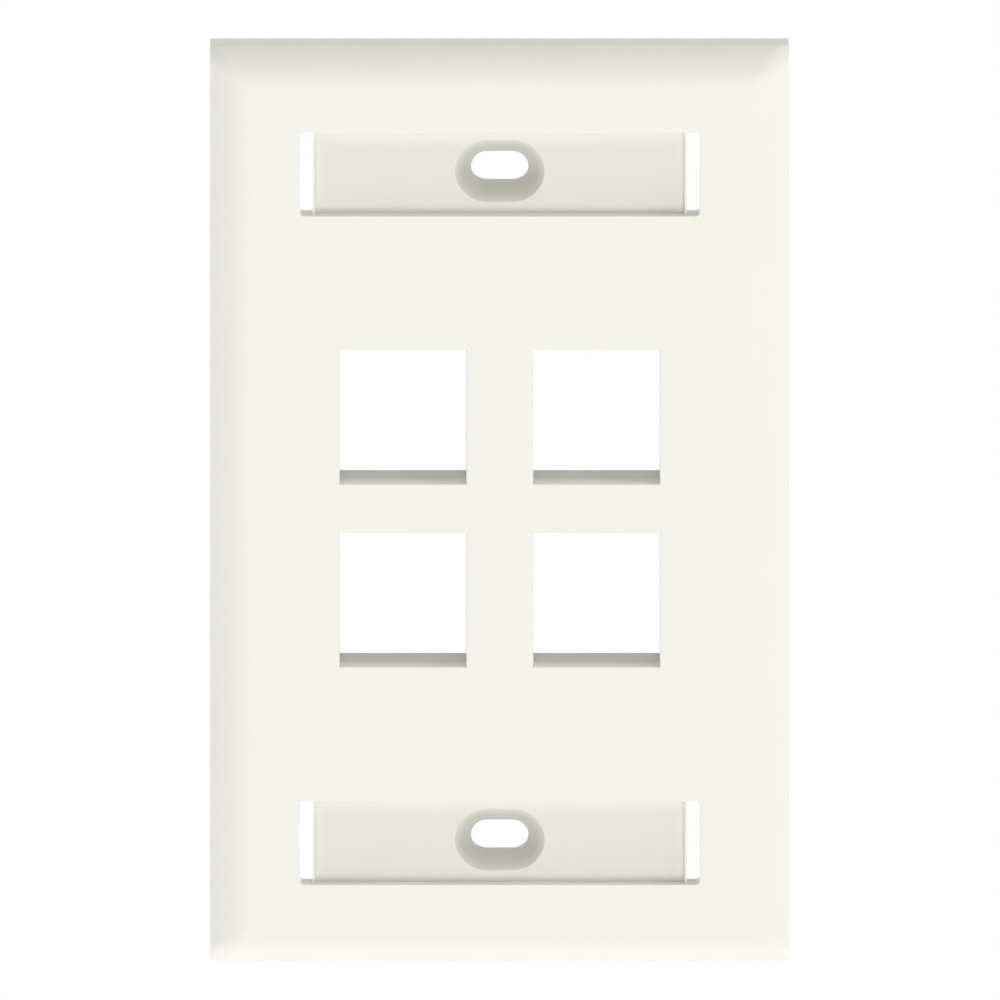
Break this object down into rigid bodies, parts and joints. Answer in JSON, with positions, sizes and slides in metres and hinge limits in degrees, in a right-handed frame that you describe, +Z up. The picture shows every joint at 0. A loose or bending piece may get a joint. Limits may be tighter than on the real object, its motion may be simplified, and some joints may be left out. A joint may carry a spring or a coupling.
{
  "type": "keystone faceplate",
  "caption": "Single-gang wall faceplate with square ports for keystone jacks, recessed label pockets with clip slots, and countersunk screw slots.",
  "frame": {"origin": "centre of the plate on the plane of the wall, where the rim's back face rests", "axes": "+X across the plate to the right as seen from the front, +Y into the wall, +Z up; the face looks along -Y"},
  "size_m": [0.0698, 0.01, 0.1142],
  "materials": {
    "white_plastic": "moulded warm white plastic, low gloss, bare"
  },
  "bodies": {
    "root": {"faceplate": "white_plastic"}
  },
  "joints": []
}
